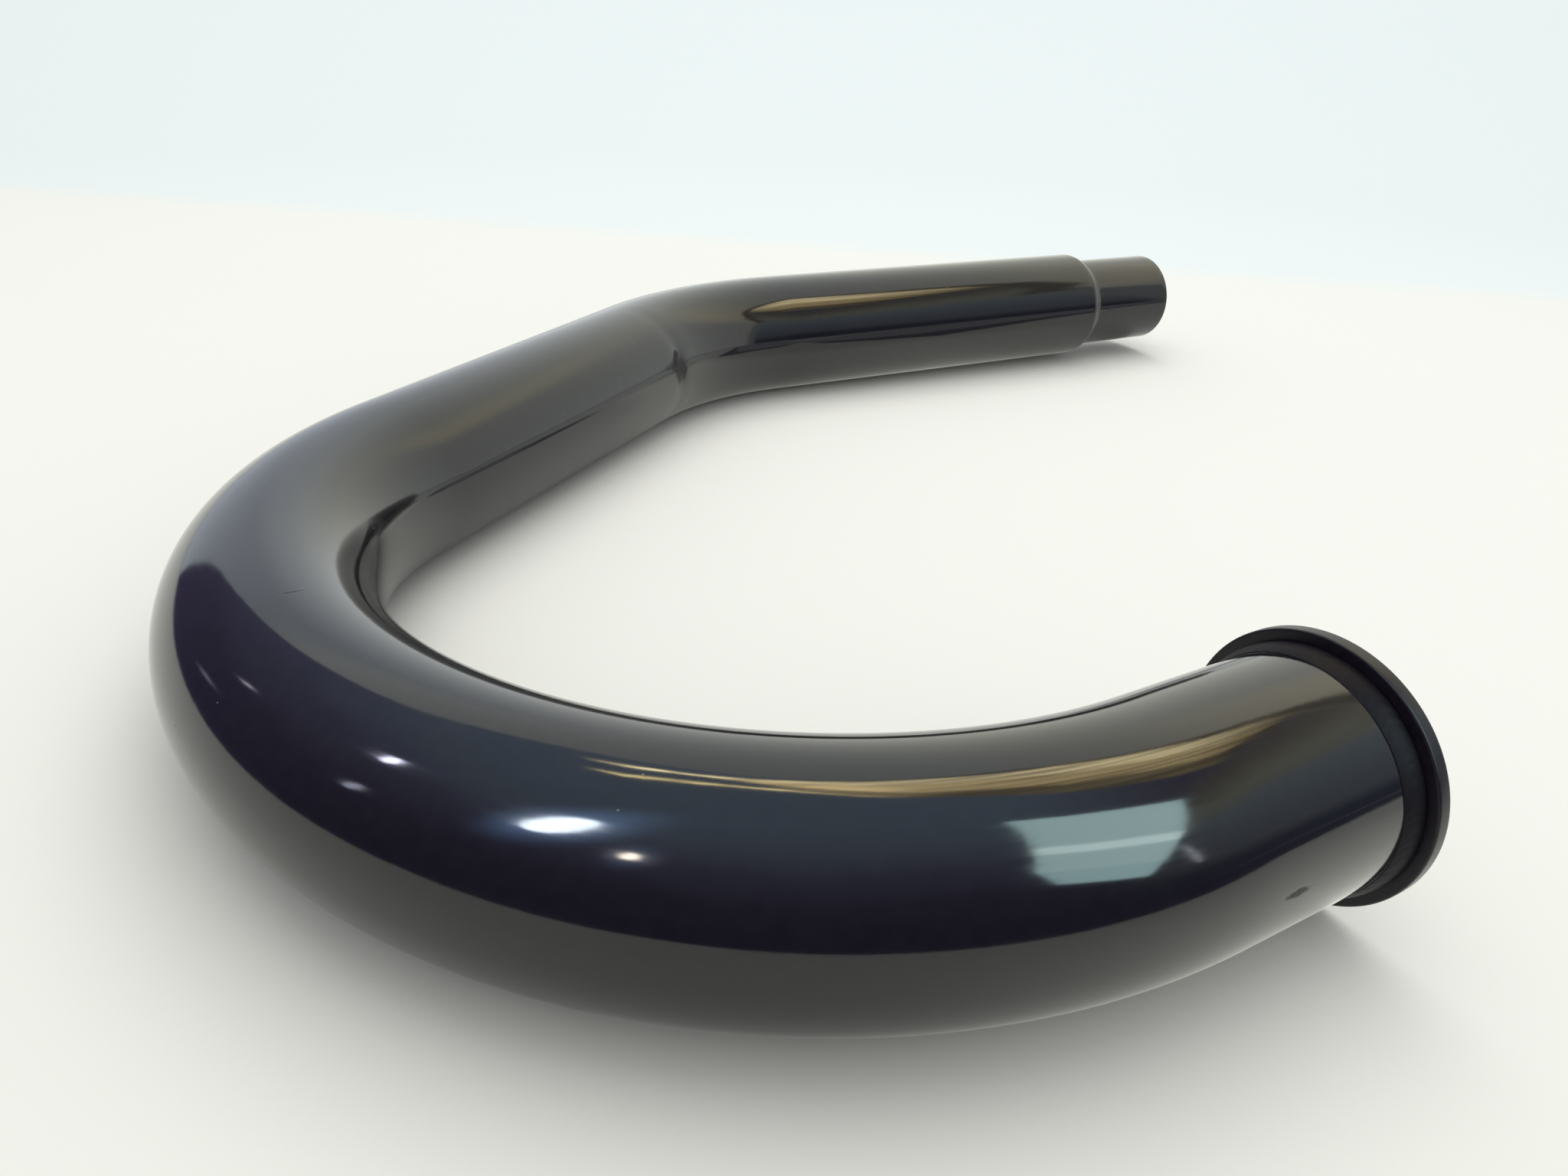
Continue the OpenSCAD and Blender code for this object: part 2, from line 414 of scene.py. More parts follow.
# %% Gloss enamel on the tube
def gloss_enamel():
    material, tree, shader = new_finish("gloss_black_enamel", "ShaderNodeBsdfPrincipled",
                                        {"IOR": ENAMEL_IOR})
    unbent = add(tree, "ShaderNodeAttribute", attribute_name="straight").outputs["Vector"]
    inside = add(tree, "ShaderNodeAttribute", attribute_name="share").outputs["Fac"]

    def drawn_noise(across, along, detail):
        """Noise whose bumps lie this far apart, in mm, across and along the pipe."""
        scale = (1 / (across * MM), 1 / (across * MM), 1 / (along * MM))
        spread = add(tree, "ShaderNodeMapping", {"Vector": unbent, "Scale": scale})
        return add(tree, NOISE, {"Vector": spread, "Scale": 1.0, "Detail": detail})

    def near(place, size):
        """1 within a spot this size, in mm on the unbent pipe, 0 past its ragged rim."""
        gap = add(tree, "ShaderNodeMapping",
                  {"Vector": unbent, "Location": [v * MM for v in place],
                   "Scale": [v * MM for v in size]}, vector_type="TEXTURE")
        reach = add(tree, VECTOR, (gap,), operation="LENGTH").outputs["Value"]
        # The fraying is about 0.5, so the rim lies at 0.6 to 1.2 of the size.
        rag = add(tree, MATHS, (reach, frayed), operation="ADD")
        return add(tree, RANGE, {"Value": rag, "From Min": 1.7, "From Max": 1.1})

    # Polishing marks, drawn out along the pipe; orange peel, in soft round hills; slow
    # waves along the pipe; and the fine fraying at the rims of wear, pit shade and soot.
    marks = drawn_noise(0.7143, 12.5, 2.0)
    peel = drawn_noise(2.5, 2.5, 1.0)
    waves = drawn_noise(16.667, 71.43, 1.0)
    frayed = drawn_noise(0.6667, 1.1111, 3.0)
    # Dust: one speck in some of the cells, a third of a millimetre across.
    cell, core, rim = 5.263 * MM, 0.1316 * MM, 0.2368 * MM
    cells = add(tree, "ShaderNodeTexVoronoi", {"Vector": unbent, "Scale": 1 / cell})
    chance = add(tree, "ShaderNodeSeparateColor", (cells.outputs["Color"],))
    kept = add(tree, MATHS, (chance, 0.6), operation="GREATER_THAN")
    grain = add(tree, RANGE, {"Value": cells.outputs["Distance"],
                              "From Min": rim / cell, "From Max": core / cell})
    speck = add(tree, MATHS, (grain, kept), operation="MULTIPLY")
    # Wear, a rubbed smear by the collar and a short scratch on top of the large bend, and
    # painted shade in the pit: a darker, duller patch standing in for the dent's shade.
    wear_and_pit_shade = near((-22.2, -0.7, 33.4), (9, 0.8, 3.2))
    for place, size in (((1.2, -22.2, 207), (2.2, 2, 0.3)), ((22, -3.5, 453.5), (9, 4.4, 3.2))):
        wear_and_pit_shade = add(tree, MATHS, (wear_and_pit_shade, near(place, size)), operation="MAXIMUM")

    rough = add(tree, RANGE, {"Value": marks, "To Min": 0.05, "To Max": 0.12})
    tone = add(tree, MIX, {0: peel, 6: linear("#0a0a0d"), 7: linear("#141418")},
               data_type="RGBA")
    # The pit's patch is painted shade, darker and duller than the film round it.
    for where, roughness, colour in ((speck, 0.6, "#5e5b56"), (wear_and_pit_shade, 0.62, "#060607")):
        rough = add(tree, MIX, {0: where, 2: rough, 3: roughness})
        tone = add(tree, MIX, {0: where, 6: tone.outputs[2], 7: linear(colour)},
                   data_type="RGBA")
    soot = add(tree, MIX, {0: frayed, 6: linear("#1d1a18"), 7: linear("#2f2a26")},
               data_type="RGBA")
    tone = add(tree, MIX, {0: inside, 6: tone.outputs[2], 7: soot.outputs[2]},
               data_type="RGBA")
    feed(tree, shader, {"Base Color": tone.outputs[2],
                        "Roughness": add(tree, MIX, {0: inside, 2: rough, 3: 0.85})})
    # Bumps, each with its strength and its height in metres. Wear and pit shade lie low.
    normal = add(tree, BUMP, {"Height": waves, "Strength": 0.5, "Distance": 4e-5})
    for height, strength, depth in ((marks, 0.3, 4e-6), (peel, 0.5, 8e-6)):
        normal = add(tree, BUMP, {"Height": height, "Strength": strength, "Distance": depth,
                                  "Normal": normal})
    normal = add(tree, BUMP, {"Height": wear_and_pit_shade, "Strength": 0.6, "Distance": 6e-5,
                              "Normal": normal}, invert=True)
    feed(tree, shader, {"Normal": normal})
    return material


ENAMEL = gloss_enamel()
print("finish:", ENAMEL.name)

# %% [markdown]
# ## Satin enamel and weld enamel
#
# The collar is turned steel with a thinner, drier coat, so it reflects as a
# soft sheen. Over the weld the coat is thick in the hollows.

# %% Satin enamel on the collar and the weld
def satin_enamel(name, dark, pale, smooth, rough, grain, shine):
    """Cloudy enamel, with clouds this many mm apart."""
    material, tree, shader = new_finish(name, "ShaderNodeBsdfPrincipled",
                                        {"Specular IOR Level": shine})
    place = add(tree, "ShaderNodeAttribute", attribute_name="straight").outputs["Vector"]
    cloud = add(tree, NOISE, {"Vector": place, "Scale": 1 / (grain * MM), "Detail": 4.0})
    tone = add(tree, MIX, {0: cloud, 6: linear(dark), 7: linear(pale)}, data_type="RGBA")
    feed(tree, shader, {
        "Base Color": tone.outputs[2],
        "Roughness": add(tree, RANGE, {"Value": cloud, "To Min": smooth, "To Max": rough}),
        "Normal": add(tree, BUMP, {"Height": cloud, "Strength": 0.4, "Distance": 1e-5})})
    return material


SATIN = satin_enamel("satin_black_enamel", "#0a070d", "#1a151f", 0.28, 0.42, 1.6667, 0.3)
BEAD = satin_enamel("enamel_over_weld", "#0b080e", "#171219", 0.42, 0.60, 1.1111, 0.1)
print("finishes:", SATIN.name, BEAD.name)

# %% [markdown]
# ## The tube
#
# The section goes out along the outer wall, over the swaged shoulder, round
# the cut lip, back down the bore and round the other lip. The shoulder is two
# arcs that meet on one slope, as the swaging die leaves it. Points crowd
# together where the marks are pressed, so that they come out crisp.

# %% The tube's section
def shoulder_radius(s, inset):
    """Radius at a distance past the start of the shoulder, for one wall face."""
    outer, hollow = SHOULDER_ROUND - inset, SHOULDER_FILLET + inset
    if s <= 0:
        return TUBE_R - inset
    if s <= outer * math.sin(slope):
        return TUBE_R - inset - outer + math.sqrt(outer ** 2 - s ** 2)
    if s < SHOULDER:
        return SPIGOT_R - inset + hollow - math.sqrt(hollow ** 2 - (SHOULDER - s) ** 2)
    return SPIGOT_R - inset


def stations(breaks):
    """Evenly spaced lengths between breaks, each given with its own spacing."""
    out = []
    for (a, gap), (b, _) in zip(breaks, breaks[1:]):
        n = max(1, round((b - a) / gap))
        out += [a + (b - a) * i / n for i in range(n)]
    return out + [breaks[-1][0]]


CREASE_BEFORE = 7 * MM
mark = AT_SECOND - CREASE_BEFORE
BROKEN_EDGE, LIP, INNER_LIP = 0.15 * MM, 0.4 * MM, 0.3 * MM
LIP_STEPS, INNER_STEPS = 6, 3
COARSE, CLOSE, FINE, AT_NECK = 2.5 * MM, 0.6 * MM, 0.3 * MM, 0.25 * MM
BORE_COARSE, BORE_NECK = 5 * MM, 0.5 * MM
CLOSE_BEFORE, FINE_BEFORE, FINE_PAST = 9 * MM, 4 * MM, 8 * MM
head_edge = TUBE_SETBACK + BROKEN_EDGE
outside = stations([(head_edge, COARSE), (mark - CLOSE_BEFORE, CLOSE),
                    (mark - FINE_BEFORE, FINE), (AT_SECOND + FINE_PAST, COARSE),
                    (AT_SHOULDER, AT_NECK), (AT_SPIGOT, COARSE), (AT_END - LIP, COARSE)])
section = [(s, shoulder_radius(s - AT_SHOULDER, 0), 0) for s in outside]
section += [(AT_END - LIP + LIP * math.sin(a), SPIGOT_R - LIP + LIP * math.cos(a), 0)
            for a in (math.pi / 2 * i / LIP_STEPS for i in range(1, LIP_STEPS + 1))]
bore = SPIGOT_R - WALL
for i in range(INNER_STEPS + 1):
    a = math.pi / 2 * i / INNER_STEPS
    section.append((AT_END - INNER_LIP * (1 - math.cos(a)),
                    bore + INNER_LIP * (1 - math.sin(a)), i / INNER_STEPS))
inside = stations([(head_edge, BORE_COARSE), (AT_SHOULDER, BORE_NECK),
                   (AT_SPIGOT, BORE_COARSE), (AT_END - INNER_LIP, BORE_COARSE)])
section += [(s, shoulder_radius(s - AT_SHOULDER, WALL), 1) for s in reversed(inside[:-1])]
section += [(TUBE_SETBACK, TUBE_R - WALL + BROKEN_EDGE, 0),
            (TUBE_SETBACK, TUBE_R - BROKEN_EDGE, 0)]
print("tube section:", len(section), "points")

# %% Sweep the tube
tube = swept("header_skin", section, [
    (SWEEP, {"Path": path, "Around": 112, "Finish": ENAMEL}),
    (PRESS, {"Crease Place": mark, "Crease Depth": 0.25 * MM, "Crease Width": 4.5 * MM,
             "Crease Bow": 3 * MM, "Pit Place": mark + 1.5 * MM, "Pit Depth": 1.1 * MM,
             "Pit Length": 2.6 * MM, "Pit Height": 4.6 * MM, "Pit Drop": 3.5 * MM,
             "Tube Radius": TUBE_R, "Finish": ENAMEL})])
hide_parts("header_tube")
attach(tube, "root")

# %% [markdown]
# ## The collar
#
# A turned ring. The lathe leaves its edges broken and the enamel rounds them
# further, so each corner of the section is a small arc.

# %% Sweep the collar
CORNER_STEPS = 6


def rounded(corners):
    """Closed section through corners (length, radius, rounding)."""
    out = []
    for i, (x, y, r) in enumerate(corners):
        here = Vector((x, y))
        a = Vector(corners[i - 1][:2]) - here
        b = Vector(corners[(i + 1) % len(corners)][:2]) - here
        start, stop = here + a.normalized() * r, here + b.normalized() * r
        for k in range(CORNER_STEPS + 1):
            t = k / CORNER_STEPS
            p = start * (1 - t) ** 2 + here * 2 * t * (1 - t) + stop * t ** 2
            out.append((p.x, p.y, 0))
    return out


RIM_ROUND, INNER_ROUND = 0.5 * MM, 0.1 * MM
ring = rounded([(0, TUBE_R, INNER_ROUND), (AT_BACK, TUBE_R, INNER_ROUND),
                (AT_BACK, COLLAR_R, RIM_ROUND), (0, COLLAR_R, RIM_ROUND)])
collar = swept("collar_ring", ring, [(SWEEP, {"Path": path, "Around": 160, "Finish": SATIN})])
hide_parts("collar")
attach(collar, "root")

# %% [markdown]
# ## The weld
#
# A weld bead is a row of small pools that froze one after another, each lying
# over the last, which leaves crescents. The bead's section is swept like the
# rest, and the tree adds the crescents, strongest at the middle of the bead.

# %% Sweep the weld
BEAD_STEPS = 14
SUNK, THINNEST = 0.03 * MM, 0.05 * MM
RIPPLE_FADE = 0.6        # how fast the crescents grow from the bead's two toes
bead = []
for i in range(BEAD_STEPS + 1):
    t = i / BEAD_STEPS
    high = WELD_HEIGHT * (1 - t) + WELD_SWELL * 4 * t * (1 - t)
    bead.append((AT_BACK + WELD_LENGTH * t, TUBE_R + max(high, THINNEST) - SUNK,
                 math.sin(math.pi * t) ** RIPPLE_FADE))
bead += [(AT_BACK + WELD_LENGTH, TUBE_R, 0), (AT_BACK, TUBE_R, 0)]
weld = swept("weld_bead", bead, [
    (SWEEP, {"Path": path, "Around": 560, "Ripple Height": 0.07 * MM, "Ripples": 62.0,
             "Ripple Lean": 0.9, "Waver": 1.6, "Seed": 7, "Finish": BEAD})])
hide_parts("collar_weld")
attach(weld, "root")
bpy.data.objects.remove(path)

# %% [markdown]
# ## The studio
#
# A plain pale floor, and a backdrop that rises from it all round, as a roll of
# paper does. Gloss black shows the room more than itself, so the room matters:
# a large soft light from above for the floor, and a dim room that only
# reflections see, with openings where a pale sheet, a window and a few lamps
# show in the enamel.

# %% Floor
def stage_mesh(name, points, faces, material):
    mesh = bpy.data.meshes.new(name)
    mesh.from_pydata(points, [], faces)
    mesh.materials.append(material)
    obj = bpy.data.objects.new(name, mesh)
    bpy.context.scene.collection.objects.link(obj)
    return obj


# The floor's tone turns cooler between these distances, in metres, along this way.
AWAY, COOL_FROM, COOL_TO = (0.57, 0.82, 0), 0.43, 0.50


def pale_floor():
    """Warm white by the pipe, going over to a cool white along a soft line."""
    material, tree, shader = new_finish("pale_floor", "ShaderNodeBsdfPrincipled",
                                        {"Roughness": 0.9, "Specular IOR Level": 0.0})
    place = add(tree, "ShaderNodeTexCoord").outputs["Object"]
    past = add(tree, VECTOR, (place, AWAY), operation="DOT_PRODUCT").outputs["Value"]
    cool = add(tree, RANGE, {"Value": past, "From Min": COOL_FROM, "From Max": COOL_TO},
               interpolation_type="SMOOTHSTEP")
    tone = add(tree, MIX, {0: cool, 6: linear("#efede8"), 7: linear("#e8edee")},
               data_type="RGBA")
    feed(tree, shader, {"Base Color": tone.outputs[2]})
    return material


FAR = 12.0
floor = stage_mesh("floor", [(-FAR, -FAR, 0), (FAR, -FAR, 0), (FAR, FAR, 0), (-FAR, FAR, 0)],
                   [(0, 1, 2, 3)], pale_floor())
print("floor:", floor.dimensions[:2])

# %% Backdrop, for the camera alone
SWEEP_FROM, SWEEP_R, SWEEP_TOP = 0.9, 0.8, 4.0
LAPS_FROM, THICK, ARC_STEPS, ROUND = 0.55, 0.001, 18, 72
profile = [(LAPS_FROM, THICK)]
profile += [(SWEEP_FROM + SWEEP_R * math.sin(a), THICK + SWEEP_R * (1 - math.cos(a)))
            for a in (math.radians(90 / ARC_STEPS * i) for i in range(ARC_STEPS + 1))]
profile += [(SWEEP_FROM + SWEEP_R, SWEEP_TOP)]
circle = [2 * math.pi * i / ROUND for i in range(ROUND)]
paper = stage_mesh("backdrop", [(r * math.cos(a), r * math.sin(a), z)
                                for r, z in profile for a in circle],
                   [(i * ROUND + j, i * ROUND + (j + 1) % ROUND,
                     (i + 1) * ROUND + (j + 1) % ROUND, (i + 1) * ROUND + j)
                    for i in range(len(profile) - 1) for j in range(ROUND)],
                   floor.data.materials[0])
paper.data.shade_smooth()
paper.visible_glossy = paper.visible_diffuse = paper.visible_shadow = False
print("the backdrop stands", SWEEP_TOP, "m high")

# %% [markdown]
# ## The room in the gloss
#
# What the enamel mirrors is laid out round the pipe as glowing cards, each in
# the place where a line from the camera, turned back by the pipe, would meet
# the real thing. The cards show in reflections only. A real room round the
# pipe would do as well, but it would also colour the floor.

# %% Cards and their glow
def glow(name, colour, strength):
    return new_finish(name, "ShaderNodeEmission",
                      {"Color": linear(colour), "Strength": strength})[0]


def added_glow(name, colour, strength):
    """Light laid over what lies behind, by the square of the card's own "core"."""
    material, tree, both = new_finish(name, "ShaderNodeAddShader")
    core = add(tree, "ShaderNodeAttribute", attribute_name="core").outputs["Fac"]
    power = add(tree, MATHS, (core, 2.0), operation="POWER")
    power = add(tree, MATHS, (power, strength), operation="MULTIPLY")
    light = add(tree, "ShaderNodeEmission", {"Color": linear(colour), "Strength": power})
    feed(tree, both, (light, add(tree, "ShaderNodeBsdfTransparent")))
    return material


def gloss_card(name, points, faces, material):
    """A card that only reflections see: it lights and shades nothing."""
    obj = stage_mesh(name, points, faces, material)
    obj.visible_camera = obj.visible_diffuse = obj.visible_shadow = False
    obj.visible_transmission = False
    return obj


def set_core(card, values):
    core = card.data.attributes.new("core", "FLOAT", "POINT")
    for spot, value in zip(core.data, values):
        spot.value = value


def between(name, one, other, material):
    """A strip between two lines of as many points."""
    rows = [p for pair in zip(one, other) for p in pair]
    gloss_card(name, rows, [(2 * i, 2 * i + 2, 2 * i + 3, 2 * i + 1)
                            for i in range(len(one) - 1)], material)


def at_height(line, z):
    return [(x, y, z) for x, y in line]


# %% Dim room and pale paper
def way_out(tree):
    """The way to a place on a card, as seen from the pipe."""
    place = add(tree, "ShaderNodeTexCoord").outputs["Object"]
    way = add(tree, VECTOR, (place,), operation="NORMALIZE")
    right, _, up = add(tree, "ShaderNodeSeparateXYZ", (way,)).outputs
    return way, right, up


def side_mix(tree, light, value, start, stop, tones):
    """Goes over from one tone to the other as the value passes from start to stop."""
    side = add(tree, RANGE, {"Value": value, "From Min": start, "From Max": stop},
               interpolation_type="SMOOTHSTEP")
    tone = add(tree, MIX, {0: side, 6: tones[0], 7: tones[1]}, data_type="RGBA")
    feed(tree, light, {"Color": tone.outputs[2]})


def dim_room():
    """Violet shade, paler and bluer high up, and olive high up on the right."""
    material, tree, light = new_finish("dim_room", "ShaderNodeEmission", {"Strength": 1.2})
    way, right, up = way_out(tree)
    cloud = add(tree, NOISE, {"Vector": way, "Scale": 1.6, "Detail": 2.0})
    sway = add(tree, MATHS, (cloud, 0.16, -0.08), operation="MULTIPLY_ADD")
    height = add(tree, MATHS, (up, sway), operation="ADD")
    violet = add(tree, "ShaderNodeValToRGB", (height,), stops=(
        (0.0, "#4e4666"), (0.34, "#625a7c"), (0.62, "#8a8ab0"), (0.80, "#b2c4e0"),
        (0.92, "#bcd6f2")))
    olive = add(tree, "ShaderNodeValToRGB", (height,), stops=(
        (0.0, "#4e546a"), (0.10, "#5c6276"), (0.20, "#98a0aa"), (0.30, "#a0a8b4"),
        (0.48, "#b8cad6"), (0.60, "#dedec6"), (0.68, "#b0aa98"), (0.76, "#8a83a0")))
    side_mix(tree, light, right, 0.2, 0.6, (violet, olive))
    return material


def pale_paper():
    """Paper: bluish and a little dimmer on the left, cream high up on the right."""
    material, tree, light = new_finish("pale_paper", "ShaderNodeEmission", {"Strength": 2.3})
    _, right, up = way_out(tree)
    plain = add(tree, "ShaderNodeValToRGB", (right,), stops=(
        (0.0, "#a1a7b0"), (0.15, "#b2b7bd"), (0.35, "#c3c7c6"), (0.62, "#c9cabf"),
        (0.95, "#b9bcb8")))
    cream = add(tree, "ShaderNodeValToRGB", (right,), stops=(
        (0.45, "#c3c7c6"), (0.62, "#c9cabf"), (0.80, "#e8e0c4")))
    side_mix(tree, light, up, 0.48, 0.62, (plain, cream))
    return material


DIM = dim_room()
print("the gloss sees a", DIM.name, "and pale paper")

# %% The rail's two edges, and the dim room round it
ROOF, RAIL = 1.0, 0.70
SLOPE_X, SLOPE_Y = 0.1, 0.15
# The dim ceiling ends along this line, and past it the gloss sees paper. Then its edge
# comes down to the rail and follows that.
ceiling_edge = [(-0.84, 2.76), (-0.60, 1.85), (-0.49, 1.35), (-0.37, 0.95), (-0.30, 0.81),
                (-0.19, 0.745)]
turn_down = (-0.09, 0.66)
rail_far = [(-0.088, 0.382), (-0.064, 0.342), (-0.039, 0.309), (-0.012, 0.257),
            (0.014, 0.220), (0.048, 0.196), (0.105, 0.157), (0.159, 0.139), (0.219, 0.126),
            (0.289, 0.114), (0.348, 0.085), (0.417, 0.058), (0.507, 0.031), (0.600, -0.005),
            (0.680, -0.070), (0.740, -0.170), (0.800, -0.270), (0.920, -0.530)]
rail_near = [(-0.220, 0.181), (-0.207, 0.129), (-0.165, 0.121), (-0.114, 0.093),
             (-0.079, 0.074), (-0.047, 0.043), (0.003, -0.021), (0.049, -0.065),
             (0.105, -0.100), (0.165, -0.150), (0.227, -0.208), (0.320, -0.245),
             (0.430, -0.285), (0.550, -0.285), (0.660, -0.220), (0.740, -0.175),
             (0.800, -0.275), (0.920, -0.535)]
far_wall = [(1.6, -1.2), (1.2, -3), (-3, -3), (-3, 2.0)]
low_edge = [(*turn_down, ROOF), (-0.07, 0.50, 0.85)] + at_height(rail_far, RAIL)
high_edge = [(-0.10, 0.655, ROOF), (-0.12, 0.50, ROOF)]
high_edge += [(x - SLOPE_X, y - SLOPE_Y, ROOF) for x, y in rail_far]
between("dim_slope", low_edge + [(*far_wall[0], ROOF)], high_edge + [(1.59, -1.21, ROOF)],
        DIM)
roof = ceiling_edge + [turn_down] + [(x, y) for x, y, z in high_edge] + far_wall
gloss_card("dim_ceiling", at_height(roof, ROOF), [tuple(range(len(roof)))], DIM)
between("dim_walls", at_height(rail_far[-1:] + far_wall, 0),
        [low_edge[-1]] + at_height(far_wall, ROOF), DIM)
side_edge = [(-1.09, 2.68, 0), (-1.05, 2.69, 0.22), (-1.0, 2.71, 0.5), (-0.92, 2.74, 0.75),
             (*ceiling_edge[0], ROOF)]
between("dim_side", side_edge, [(*far_wall[-1], z) for x, y, z in side_edge], DIM)
print("the rail hangs", RAIL, "m up, under a ceiling at", ROOF, "m")

# %% The floor in the gloss
# The cards on the floor lie a tenth of a millimetre over one another. The pale floor
# ends near the camera and right of the legs.
SHADE_AT, DIM_AT, LIT_AT = 0.4 * MM, 0.5 * MM, 0.6 * MM
near_floor = [(-1.09, 2.68), (-0.50, 0.25), (-0.38, -0.12), (-0.27, -0.24), (-0.16, -0.29),
              (0.02, -0.33), (0.5, -0.5), (1.2, -0.9)] + far_wall[1:]
gloss_card("dim_floor", at_height(near_floor, DIM_AT), [tuple(range(len(near_floor)))], DIM)
shade_line = [(0.081, 0.055), (0.096, 0.080), (0.124, 0.093), (0.176, 0.074), (0.245, 0.037),
              (0.305, 0.004), (0.6, -0.14), (1.3, -0.5)]
SHADE_X, SHADE_Y = 0.012, 0.035
past_line = [(x + SHADE_X, y - SHADE_Y) for x, y in shade_line]
between("table_shadow", at_height(shade_line, SHADE_AT), at_height(past_line, SHADE_AT),
        glow("table_shadow_light", "#7c7c88", 1.0))
right_floor = past_line + [(1.2, -0.9), (0.5, -0.45), (0.15, -0.1)]
gloss_card("dim_right_floor", at_height(right_floor, SHADE_AT),
           [tuple(range(len(right_floor)))], glow("shaded_table", "#b4b4bc", 1.2))


def graded_sheet(name, columns, rows, strength):
    """A sheet on the floor, its glow set by the shares of its columns and rows."""
    n = len(rows)
    card = gloss_card(name, [(x, y, LIT_AT) for x, _ in columns for y, _ in rows],
                      [(i * n + j, (i + 1) * n + j, (i + 1) * n + j + 1, i * n + j + 1)
                       for i in range(len(columns) - 1) for j in range(n - 1)],
                      added_glow(name + "_light", "#f4f4e8", strength))
    set_core(card, [share_x * share_y for _, share_x in columns for _, share_y in rows])


# The floor right under the pipe is in its shadow, yet the gloss shows it pale.
graded_sheet("lit_under_tail", [(-0.10, 0), (-0.06, 0.3), (-0.02, 0.6), (0.05, 0.9), (0.10, 1),
                                (0.18, 0.7), (0.21, 0.2), (0.24, 0)],
             [(0.085, 0), (0.11, 0.8), (0.13, 1), (0.20, 1)], 0.5)
graded_sheet("lit_under_head", [(-0.22, 0), (-0.15, 0.35), (-0.11, 0.7), (-0.07, 0.95),
                                (-0.03, 1), (0.06, 1), (0.12, 0)],
             [(-0.36, 0), (-0.27, 0.5), (-0.21, 0.85), (-0.18, 1), (-0.13, 1)], 0.48)

# The pale sheet stands round from 24 degrees left of +Y to 120 degrees right of it.
SHEET_AT, SHEET_HIGH = 3.2, 6.5
ring_turn = [math.radians(a) for a in range(-24, 121, 6)]
foot = [(SHEET_AT * math.sin(a), SHEET_AT * math.cos(a)) for a in ring_turn]
between("pale_sheet", at_height(foot, 0), at_height(foot, SHEET_HIGH), pale_paper())

# %% [markdown]
# ## Rail, lamps and window
#
# The brightest things in the gloss tell the eye how round and how smooth the
# pipe is, so each is a card of its own. One picture wrapped round the room
# would do too, but a card can be moved and dimmed by itself.

# %% The rail in the gloss
# The rail is a gilt moulding: a bright line, then a broader and a dimmer band. It hangs
# a little under the dim room's edge, and its shadow a little lower still.
UNDER, SHADOW_UNDER = 3 * MM, 4 * MM


def rail_line(shares):
    """A line at these shares of the way from the rail's far to its near edge."""
    return [(fx + (nx - fx) * s, fy + (ny - fy) * s, RAIL - UNDER)
            for (fx, fy), (nx, ny), s in zip(rail_far, rail_near, shares)]


def gilt(name, colour, strength, low):
    """Streaks drawn out along the rail, bright at its left end and dim at its right."""
    material, tree, light = new_finish(name, "ShaderNodeEmission", {"Color": linear(colour)})
    place = add(tree, "ShaderNodeTexCoord").outputs["Object"]
    drawn = add(tree, "ShaderNodeMapping",
                {"Vector": place, "Rotation": (0, 0, 0.45), "Scale": (4, 50, 1)})
    streak = add(tree, NOISE, {"Vector": drawn, "Scale": 1.0, "Detail": 2.0})
    share = add(tree, RANGE, {"Value": streak, "From Min": 0.35, "From Max": 0.65,
                              "To Min": low, "To Max": 1.0})
    along = add(tree, "ShaderNodeSeparateXYZ", (place,))
    part = add(tree, RANGE, {"Value": along, "From Min": -0.1, "From Max": 0.8})
    fade = add(tree, "ShaderNodeValToRGB", (part,), stops=(
        (0.06, "#ffffff"), (0.24, "#9c9c9c"), (0.58, "#9c9c9c"), (0.91, "#343434")))
    power = add(tree, MATHS, (share, fade), operation="MULTIPLY")
    power = add(tree, MATHS, (power, strength), operation="MULTIPLY")
    feed(tree, light, {"Strength": power})
    return material


line_from = [0.45, 0.38, 0.38, 0.34, 0.28, 0.20, 0.12, 0.08, 0.05, 0.03] + [0] * 8
line_end = [0.45, 0.45, 0.46, 0.42, 0.38, 0.34, 0.32, 0.33] + [0.34] * 6 + [0] * 4
band_end = [0.45, 0.45, 0.46, 0.42, 0.46, 0.60, 0.68] + [0.75] * 4 + [0.7] * 3 + [0] * 4
dim_end = [0.45, 0.45, 0.46, 0.42, 0.50, 0.75, 0.92] + [1] * 7 + [0] * 4
low_from = [0.92, 0.84, 0.84, 0.84, 0.86, 0.86, 0.92] + [1] * 7 + [0] * 4
low_end = [0.92, 0.94, 0.95, 0.95, 0.95, 0.95, 0.96] + [1] * 7 + [0] * 4
for name, one, other, finish in (
        ("rail_line", line_from, line_end, ("gilt_line", "#ffecb8", 28.0, 0.3)),
        ("rail_band", line_end, band_end, ("gilt_band", "#f6dca2", 19.0, 0.25)),
        ("rail_dim", band_end, dim_end, ("gilt_shade", "#ccb88c", 8.0, 0.4)),
        ("rail_low_line", low_from, low_end, ("gilt_low_line", "#ffe9a8", 20.0, 0.3))):
    between(name, rail_line(one), rail_line(other), gilt(*finish))

# A soft brown shadow lies along the rail's far side, to its right.
shade_from = rail_far[5:]
shade_wide = (0, 0.004, 0.008, 0.01, 0.014, 0.018, 0.022, 0.026, 0.034, 0.044, 0.05, 0.06, 0.06)
shade_far = [(x + w, y + w) for (x, y), w in zip(shade_from, shade_wide)]
between("rail_shadow", at_height(shade_from, RAIL - SHADOW_UNDER),
        at_height(shade_far, RAIL - SHADOW_UNDER), glow("brown_shadow", "#c9bfa8", 0.6))
print("rail: four gilt strips and a shadow")

# %% Lamps in the gloss
RIM_POINTS = 32


